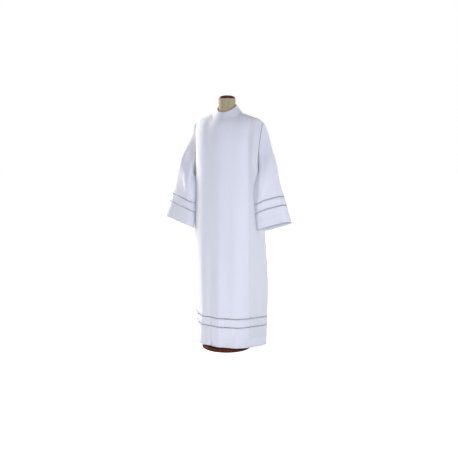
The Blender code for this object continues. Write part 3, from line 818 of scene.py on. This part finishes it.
def varnished_mahogany():
    """Dark wood with straight streaks under a thin coat."""
    finish, tree, shader = new_finish("varnished mahogany", 0.42, 1.5)
    place = add_node(tree, "TexCoord", {}).outputs["Object"]
    size = (1 / GRAIN_LONG, 1 / GRAIN_WIDE, 1 / GRAIN_WIDE)
    stretched = add_node(tree, "Mapping", {"Vector": place, "Scale": size})
    grain = {"Vector": stretched.outputs["Vector"], "Scale": 1, "Detail": 4, "Distortion": 0.6}
    streaks = add_node(tree, "TexNoise", grain)
    ramp = add_node(tree, "ValToRGB", {"Fac": streaks.outputs["Fac"]})
    ramp.color_ramp.elements[0].position, ramp.color_ramp.elements[1].position = 0.36, 0.66
    ramp.color_ramp.elements[0].color = linear("1d0905")
    ramp.color_ramp.elements[1].color = linear("7c3417")
    tree.links.new(ramp.outputs["Color"], shader.inputs["Base Color"])
    shader.inputs["Specular IOR Level"].default_value = 0.12
    shader.inputs["Coat Weight"].default_value = 0.06
    shader.inputs["Coat Roughness"].default_value = 0.12
    return finish


mahogany = varnished_mahogany()
print("made", mahogany.name)

# %% [markdown]
# ## From grids to cloth
# Each grid of middle points becomes a mesh, and a Solidify modifier gives it the cloth's thickness.
# The distances round and up the piece are stored on its points, so that the weave follows the threads
# and not the room.

# %% From points to meshes
CLOTH_THICK = 0.9 * MM


def add_piece(name, points, faces, finish, slot):
    """A mesh object that rides with the model and has the finish given. slot is not used."""
    mesh = bpy.data.meshes.new(name)
    mesh.from_pydata(np.reshape(points, (-1, 3)).tolist(), [], faces)
    mesh.materials.append(finish)
    mesh.shade_smooth()
    piece = bpy.data.objects.new(name, mesh)
    bpy.context.scene.collection.objects.link(piece)
    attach(piece, BODY)
    return piece


def grid_faces(shape, loop, gaps):
    """The four-sided faces of a grid, with none above the rows in gaps."""
    count = shape[1]
    low = np.array([r for r in range(shape[0] - 1) if r not in gaps])[:, None] * count
    here = np.arange(count if loop else count - 1)[None]
    after = (here + 1) % count
    faces = (low + here, low + after, low + count + after, low + count + here)
    return np.stack(faces, axis=-1).reshape(-1, 4).tolist()


def add_cloth(name, rows, thick, loop=False, gaps=()):
    """A piece of cloth through a grid of middle points, with the place of each in its cut."""
    cloth = add_piece(name, rows, grid_faces(rows.shape, loop, gaps), white_poplin, "cloth")
    round_it = np.linalg.norm(np.diff(rows, axis=1), axis=2).cumsum(axis=1)
    up_it = np.linalg.norm(np.diff(rows, axis=0), axis=2).cumsum(axis=0)
    cut = np.zeros(rows.shape)
    cut[:, 1:, 0], cut[1:, :, 1] = round_it, up_it
    cut[:, :, 0] -= cut[:, rows.shape[1] // 2, 0][:, None]
    stored = cloth.data.attributes.new("cut", "FLOAT_VECTOR", "POINT")
    stored.data.foreach_set("vector", cut.ravel())
    wall = cloth.modifiers.new("cloth thickness", "SOLIDIFY")
    wall.thickness, wall.offset, wall.use_even_offset = thick, 0, True
    return cloth


print("cloth is", round(CLOTH_THICK / MM, 1), "mm thick")

# %% Hems
HEM_INSIDE = 1.5 * MM


def hem_row(turn):
    """The number of the row where a hem's stitching runs."""
    return len(stations([0.0, turn], BODY_STEP)) - 1


def turned_up(rows, turn_row, loop):
    """The rows of a hemmed piece: up the inside of the hem from its raw edge, then up the outside."""
    inside = rows - normals(rows, loop) * HEM_INSIDE
    edge = (rows[:1] + inside[:1]) / 2
    return np.concatenate((inside[turn_row::-1], edge, rows))


def hemmed(name, rows, gaps, turn, loop=False):
    """A piece of cloth with its hem turned up inside and its openwork gaps left out."""
    turn_row = hem_row(turn)
    moved = [gap + turn_row + 2 for gap in gaps]
    return add_cloth(name, turned_up(rows, turn_row, loop), CLOTH_THICK, loop, moved)


def store_painted_shade(cloth, columns):
    """Stores where a piece gets painted shade: in these columns, above the doubled hem."""
    stored = cloth.data.attributes.new("painted shade share", "FLOAT", "POINT")
    rows = len(cloth.data.vertices) // len(columns)
    above = np.arange(rows) > 2 * hem_row(HEM_TURN) + 2
    stored.data.foreach_set("value", np.outer(above, columns).astype(float).ravel())


print("the hem is stitched at row", hem_row(HEM_TURN), "and the cuffs at row", hem_row(CUFF_TURN))

# %% The robe's pieces
front = hemmed("front_cloth", front_rows, body_gaps, HEM_TURN)
back = hemmed("back_cloth", back_rows, body_gaps, HEM_TURN)
# Painted shade on the front's side panels beyond the pleats and on the whole back, above the hem.
store_painted_shade(front, (pleat_path()[:, 2] == 0) & (np.abs(pleat_path()[:, 0]) >= T_FOLD))
store_painted_shade(back, np.ones(back_rows.shape[1]))
sleeve_pieces = {
    side: hemmed(f"sleeve_{word}_cloth", *sleeves[side], CUFF_TURN, True)
    for side, word in SIDES.items()
}
COLLAR_THICK = 1.8 * MM
collar = add_cloth("collar_cloth", collar_grid(), COLLAR_THICK, True)
print("cloth faces:", [len(o.data.polygons) for o in (front, back, *sleeve_pieces.values(), collar)])

# %% [markdown]
# ## Thread work
# The rungs of the ladder, the corded edges of the openwork and the hem stitches are all short strands
# of thread. One function makes any number of them at once, each a small prism with several stations,
# because thousands of separate curves would be slow.

# %% Faces and places of strands
def strand_faces(count, stations_each, corners):
    """The faces of many strands, whose points go strand by strand and station by station."""
    low = (np.arange(stations_each - 1) * corners)[:, None]
    here = np.arange(corners)[None]
    after = (here + 1) % corners
    sides = np.stack((low + here, low + after, low + corners + after, low + corners + here), axis=-1)
    ends = [list(range(corners))[::-1], [(stations_each - 1) * corners + i for i in range(corners)]]
    one = sides.reshape(-1, 4).tolist() + ends
    each = stations_each * corners
    return [[index + strand * each for index in face] for strand in range(count) for face in one]


def places_along(line, spacing):
    """Numbers of evenly spaced places on a line of points, with a fraction between two points."""
    run = np.concatenate(([0], np.linalg.norm(np.diff(line, axis=0), axis=1).cumsum()))
    count = int(run[-1] / spacing)
    return np.interp((np.arange(count) + 0.5) * run[-1] / count, run, np.arange(len(line)))


def read(line, place):
    """The points or vectors at fractional places on a line."""
    low = np.minimum(place.astype(int), len(line) - 2)
    return line[low] + (line[low + 1] - line[low]) * (place - low)[:, None]


print("one strand of 4 stations and 4 corners has", len(strand_faces(1, 4, 4)), "faces")

# %% Rungs of the ladder
LADDER_PITCH, RUNG_THICK = 3.0 * MM, 0.55 * MM
# The stations of a rung: how far across the gap each is, as a share, and its width in millimetres.
RUNG_STATIONS = ((-0.16, 2.2), (0.04, 1.75), (0.5, 1.45), (0.96, 1.75), (1.16, 2.2))


def rungs(foot_line, head_line, out_line):
    """Thread bars from the lower to the upper edge of a gap, spread where they enter the cloth."""
    place = places_along(foot_line, LADDER_PITCH)
    foot, head, out = (read(line, place) for line in (foot_line, head_line, out_line))
    out = unit(out)
    side = unit(np.cross(head - foot, out))
    corners = []
    for share, wide in RUNG_STATIONS:
        middle = foot + (head - foot) * share
        for across, deep in ((-1, -1), (1, -1), (1, 1), (-1, 1)):
            offset = side * across * wide * MM / 2 + out * deep * RUNG_THICK / 2
            corners.append(middle + offset)
    points = np.stack(corners, axis=1)
    return points, strand_faces(len(points), len(RUNG_STATIONS), 4)


print("rungs are", round(LADDER_PITCH / MM, 1), "mm apart and", round(LADDER_TALL / MM, 1), "mm tall")

# %% Corded edges and stitches
CORD_R, CORD_SIDES = 0.55 * MM, 6
STITCH_PITCH, STITCH_LONG, STITCH_R = 3.6 * MM, 2.7 * MM, 0.28 * MM
# The stations of a stitch: where each is, as a share of its length, and how full it is there.
STITCH_STATIONS = ((-0.5, 0.4), (-0.3, 1.0), (0.3, 1.0), (0.5, 0.4))


def cord(line, out_line):
    """A fine corded edge that runs along a line."""
    along = unit(np.gradient(line, axis=0))
    out = unit(out_line)
    side = np.cross(along, out)
    turn = np.arange(CORD_SIDES) * 2 * math.pi / CORD_SIDES
    points = [line + CORD_R * (out * math.cos(a) + side * math.sin(a)) for a in turn]
    return np.stack(points, axis=1), strand_faces(1, len(line), CORD_SIDES)


def stitches(line, out_line):
    """Short stitches that lie along a line, on the outside of the cloth."""
    place = places_along(line, STITCH_PITCH)
    out = unit(read(out_line, place))
    along = unit(read(np.gradient(line, axis=0), place))
    middle = read(line, place) + out * CLOTH_THICK / 2
    side = np.cross(along, out)
    corners = []
    for share, swell in STITCH_STATIONS:
        for a, b in ((1, 0), (0, 1), (-1, 0), (0, -1)):
            offset = (out * a + side * b) * STITCH_R * swell
            corners.append(middle + along * share * STITCH_LONG + offset)
    points = np.stack(corners, axis=1)
    return points, strand_faces(len(points), len(STITCH_STATIONS), 4)


print("stitches are", round(STITCH_PITCH / MM, 1), "mm apart")


# %% Openwork and stitching on each piece
def joined(parts):
    """Several sets of points and faces as one."""
    points, faces, start = [], [], 0
    for some, their_faces in parts:
        flat = np.reshape(some, (-1, 3))
        points.append(flat)
        faces += [[index + start for index in face] for face in their_faces]
        start += len(flat)
    return np.concatenate(points), faces


def add_thread_work(name, rows, gaps, turn, loop=False):
    """The openwork and the hem stitching of one piece."""
    out = normals(rows, loop)
    if loop:
        rows, out = (np.concatenate((grid, grid[:, :1]), axis=1) for grid in (rows, out))
    parts = []
    for gap in gaps:
        parts.append(rungs(rows[gap], rows[gap + 1], out[gap]))
        parts += [cord(rows[gap], out[gap]), cord(rows[gap + 1], out[gap + 1])]
    parts.append(stitches(rows[hem_row(turn)], out[hem_row(turn)]))
    # Rungs, cords and stitches all take the grey of painted shade.
    return add_piece(name, *joined(parts), shaded_warp_thread, "cloth")


front_threads = add_thread_work("front_openwork", front_rows, body_gaps, HEM_TURN)
back_threads = add_thread_work("back_openwork", back_rows, body_gaps, HEM_TURN)
sleeve_threads = {
    side: add_thread_work(f"sleeve_{word}_openwork", *sleeves[side], CUFF_TURN, True)
    for side, word in SIDES.items()
}
print("thread faces:", len(front_threads.data.polygons) + len(back_threads.data.polygons))

# %% [markdown]
# ## The dress form
# The form is a padded torso with a neck and no limbs. Its rings are ellipses, pinched towards a
# diamond at the shoulders. Cap, pole and base are turned, so each is one profile spun round.

# %% Form and turned wood
FormRing = namedtuple("FormRing", "z half_width front back power")
FORM_RINGS = (
    FormRing(0.742, 0.110, 0.070, 0.080, 2.0),
    FormRing(0.750, 0.140, 0.088, 0.100, 2.0),
    FormRing(0.780, 0.158, 0.094, 0.112, 2.0),
    FormRing(0.880, 0.162, 0.092, 0.114, 2.0),
    FormRing(1.020, 0.134, 0.082, 0.092, 2.0),
    FormRing(1.120, 0.146, 0.092, 0.096, 2.0),
    FormRing(1.240, 0.160, 0.094, 0.100, 2.0),
    FormRing(1.330, 0.176, 0.080, 0.094, 1.8),
    FormRing(1.385, 0.196, 0.064, 0.082, 1.5),
    FormRing(1.415, 0.202, 0.056, 0.076, 1.3),
    FormRing(1.436, 0.196, 0.051, 0.072, 1.15),
    FormRing(1.452, 0.176, 0.048, 0.069, 1.1),
    FormRing(1.466, 0.140, 0.047, 0.067, 1.2),
    FormRing(1.479, 0.106, 0.046, 0.065, 1.4),
    FormRing(1.492, 0.074, 0.045, 0.063, 1.8),
    FormRing(1.508, 0.058, 0.0445, 0.0625, 2.0),
    FormRing(1.540, 0.0535, 0.0445, 0.0625, 2.0),
    FormRing(1.588, 0.0535, 0.0445, 0.0625, 2.0),
)
FORM_SIDES, FORM_STEP = 96, 0.008
SHARP_TURN = math.radians(50)


def form_rows():
    """The form's loops, from the foot of the torso to the top of the neck."""
    z = stations([ring.z for ring in FORM_RINGS], FORM_STEP)
    row = FormRing(*spline([ring.z for ring in FORM_RINGS], FORM_RINGS, z).T[..., None])
    angle = np.linspace(0, 2 * math.pi, FORM_SIDES, endpoint=False)
    c, s = np.cos(angle)[None], np.sin(angle)[None]
    reach = (np.abs(c) ** row.power + np.abs(s) ** row.power) ** (-1 / row.power)
    middle, depth = (row.back - row.front) / 2, (row.back + row.front) / 2
    return vectors(row.half_width * reach * c, middle + depth * reach * s, row.z)


def add_closed(name, rows, finish, slot, node):
    """A stack of loops closed at both ends, in place of a node of the model."""
    count, last = rows.shape[1], (rows.shape[0] - 1) * rows.shape[1]
    ends = [list(range(count))[::-1], [last + i for i in range(count)]]
    piece = add_piece(name, rows, grid_faces(rows.shape, True, ()) + ends, finish, slot)
    piece.data.set_sharp_from_angle(angle=SHARP_TURN)
    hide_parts(node)
    return piece


form = add_closed("linen_torso", form_rows(), linen, "linen", "form_torso")
print("torso rings", form_rows().shape[0])

# %% Turned pieces
TURNED_SIDES = 128
NECK_TOP_Y = (FORM_RINGS[-1].back - FORM_RINGS[-1].front) / 2


def turned(profile, centre_y=0.0):
    """The loops of a turned piece. The profile lists radius and height from the bottom up."""
    angle = np.linspace(0, 2 * math.pi, TURNED_SIDES, endpoint=False)[None]
    radius, z = np.array(profile).T[..., None]
    return vectors(radius * np.cos(angle), centre_y + radius * np.sin(angle), z)


def rounded(radius, z, corner, start, end, steps=6):
    """Points round a corner of a profile, with the angles in degrees."""
    angles = np.radians(np.linspace(start, end, steps))
    return [(radius + corner * math.cos(a), z + corner * math.sin(a)) for a in angles]


print("turned pieces have", TURNED_SIDES, "sides")

# %% Neck cap
CAP_R, CAP_H, CAP_GAP, CAP_RIM, CAP_FLAT, CAP_EDGE = 0.0505, 0.0205, 0.0005, 0.004, 0.002, 0.0015
cap_foot = FORM_RINGS[-1].z + CAP_GAP
cap_profile = rounded(CAP_R - CAP_EDGE, cap_foot + CAP_EDGE, CAP_EDGE, -90, 0)
for degrees in range(0, 91, 6):
    rise = math.radians(degrees)
    reach = CAP_R * math.cos(rise) + CAP_FLAT * math.sin(rise)
    cap_profile.append((reach, cap_foot + CAP_RIM + (CAP_H - CAP_RIM) * math.sin(rise)))
cap_rows = turned(cap_profile, NECK_TOP_Y)
neck_cap = add_closed("mahogany_neck_cap", cap_rows, mahogany, "dark_wood", "neck_cap")
print("cap top at", round(cap_foot + CAP_H, 4), "m")

# %% Base and pole
BASE_R, BASE_RIM, BASE_ROUND, BASE_EDGE = 0.158, 0.020, 0.005, 0.002
BOSS_R, BOSS_H, BOSS_ROUND, POLE_R = 0.036, 0.052, 0.004, 0.016
# Between its rim and its boss the base rises in a curve, as radius and height above the rim.
BASE_CURVE = (
    (0.120, 0.0006),
    (0.090, 0.002),
    (0.070, 0.004),
    (0.055, 0.007),
    (0.044, 0.011),
    (BOSS_R, 0.016),
)
base_profile = rounded(BASE_R - BASE_EDGE, BASE_EDGE, BASE_EDGE, -90, 0)
base_profile += rounded(BASE_R - BASE_ROUND, BASE_RIM - BASE_ROUND, BASE_ROUND, 0, 90, 9)
base_profile += [(radius, BASE_RIM + above) for radius, above in BASE_CURVE]
base_profile += rounded(BOSS_R - BOSS_ROUND, BOSS_H - BOSS_ROUND, BOSS_ROUND, 0, 90)
base = add_closed("mahogany_base", turned(base_profile), mahogany, "dark_wood", "base")
pole_profile = [(POLE_R, BOSS_H + SEAM_GAP), (POLE_R, FORM_RINGS[0].z - SEAM_GAP)]
pole = add_closed("mahogany_pole", turned(pole_profile), mahogany, "dark_wood", "pole")
print("turned pieces:", neck_cap.name, base.name, pole.name)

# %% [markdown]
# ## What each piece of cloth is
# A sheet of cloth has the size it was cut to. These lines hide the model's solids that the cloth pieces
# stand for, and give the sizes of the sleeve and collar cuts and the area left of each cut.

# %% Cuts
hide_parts("front")
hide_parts("back")
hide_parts("sleeve_left")
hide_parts("sleeve_right")
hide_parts("collar")
SLEEVE_CUT, COLLAR_CUT = (0.52, 0.72), (0.52, 0.06)
# What is left of each rectangle in square metres, once the neck and the armholes are cut out.
FRONT_AREA, BACK_AREA, SLEEVE_AREA = 1.26, 0.955, 0.24
whole_cut = FRONT_AREA + BACK_AREA + 2 * SLEEVE_AREA + COLLAR_CUT[0] * COLLAR_CUT[1]
print("the whole cut is", round(whole_cut, 2), "square metres")

# %% [markdown]
# ## Studio
# The robe stands on a wide pale floor in a white room. The strong light is a large softbox at the
# wearer's right and a little behind, which leaves that edge almost white, and a smaller one behind
# the left shoulder draws that edge too. A cool, weak one in front shines down on the skirt. The room's
# walls are bright at the wearer's left front and dark near the floor, so the insides of the cuffs stay
# darker. The floor throws light back up on to the skirt. Room and floor look plain white to the eye.

# %% Floor
FLOOR_R, FLOOR_SIDES, FLOOR_GLOW = 30.0, 64, 0.85
floor_mesh = bpy.data.meshes.new("floor")
angles = np.linspace(0, 2 * math.pi, FLOOR_SIDES, False)
corners = [(FLOOR_R * math.cos(a), FLOOR_R * math.sin(a), 0) for a in angles]
floor_mesh.from_pydata(corners, [], [list(range(FLOOR_SIDES))])
floor = bpy.data.objects.new("floor", floor_mesh)
bpy.context.scene.collection.objects.link(floor)
floor_finish, floor_tree, floor_shader = new_finish("matt white floor", 0.9, 1.45)
floor_shader.inputs["Base Color"].default_value = linear("f4f5f8")
floor_shader.inputs["Emission Color"].default_value = linear("ffffff")
# The glow is for the camera alone and lights nothing, so that the floor looks plain white.
floor_eye = add_node(floor_tree, "LightPath", {}).outputs["Is Camera Ray"]
glow = add_node(floor_tree, "Math", {0: floor_eye, 1: FLOOR_GLOW}, operation="MULTIPLY")
floor_tree.links.new(glow.outputs["Value"], floor_shader.inputs["Emission Strength"])
floor_mesh.materials.append(floor_finish)
print("floor", round(2 * FLOOR_R), "m across")

# %% Softboxes
Softbox = namedtuple("Softbox", "name place aim size watts colour")
SOFTBOXES = (
    Softbox("key", (-3.28, 0.68, 2.1), (0, 0, 1.8), (1.0, 2.2), 195, "fffdf8"),
    Softbox("rim", (2.3, 2.6, 1.3), (0, 0, 0.9), (1.0, 2.2), 45, "fffdf8"),
    Softbox("fill", (1.5, -2.0, 1.4), (0.1, 0, -0.2), (1.6, 0.6), 27, "eef1ff"),
)
for box in SOFTBOXES:
    data = bpy.data.lights.new(box.name, "AREA")
    data.shape, (data.size, data.size_y) = "RECTANGLE", box.size
    data.energy, data.color = box.watts, linear(box.colour)[:3]
    light = bpy.data.objects.new(box.name, data)
    light.location = box.place
    towards = light.location - Vector(box.aim)
    light.rotation_euler = towards.to_track_quat("Z", "Y").to_euler()
    bpy.context.scene.collection.objects.link(light)
print("softboxes:", len(bpy.data.lights))

# %% The white room
WALL_TURN, WALL_BRIGHT = math.radians(-52), 1.02
# Each way out of the room is a vector of length 1. FROM, FOOT and FULL are its parts towards the
# bright wall, or straight up, at which the light there starts and is full.
WALL_FROM, WALL_FOOT, WALL_FULL = 0.30, 0.02, 0.22
TOP_BRIGHT, TOP_FROM, TOP_FULL = 0.56, 0.4, 0.9


def white_room():
    """A room that looks white, and lights the robe from its left front and from overhead."""
    world = bpy.data.worlds.new("white room")
    world.use_nodes = True
    tree = world.node_tree
    way = add_node(tree, "TexCoord", {}).outputs["Generated"]
    bright_side = (math.cos(WALL_TURN), math.sin(WALL_TURN), 0)
    facing = add_node(tree, "VectorMath", {0: way, 1: bright_side}, operation="DOT_PRODUCT")
    level = {"Value": facing.outputs["Value"], "From Min": WALL_FROM, "From Max": 1.0}
    walls = add_node(tree, "MapRange", level | {"To Max": WALL_BRIGHT})
    up = add_node(tree, "SeparateXYZ", {"Vector": way}).outputs["Z"]
    overhead = add_node(tree, "MapRange", {"Value": up, "From Min": TOP_FROM, "From Max": TOP_FULL})
    above = add_node(tree, "MapRange", {"Value": up, "From Min": WALL_FOOT, "From Max": WALL_FULL})
    both = {0: walls.outputs["Result"], 1: above.outputs["Result"]}
    lit = add_node(tree, "Math", both, operation="MULTIPLY").outputs["Value"]
    shares = {"Factor": overhead.outputs["Result"], "A": lit, "B": TOP_BRIGHT}
    strength = add_node(tree, "Mix", shares, data_type="FLOAT")
    given = tree.nodes["Background"]
    given.inputs["Color"].default_value = linear("f6f7fe")
    tree.links.new(strength.outputs["Result"], given.inputs["Strength"])
    seen = add_node(tree, "Background", {"Color": linear("ffffff"), "Strength": 1.0})
    eye = add_node(tree, "LightPath", {}).outputs["Is Camera Ray"]
    shaders = {0: eye, 1: given.outputs["Background"], 2: seen.outputs["Background"]}
    room = add_node(tree, "MixShader", shaders)
    tree.links.new(room.outputs["Shader"], tree.nodes["World Output"].inputs["Surface"])
    return world


bpy.context.scene.world = white_room()
bpy.context.scene.view_settings.view_transform = "Standard"
print("the room is", bpy.context.scene.world.name)
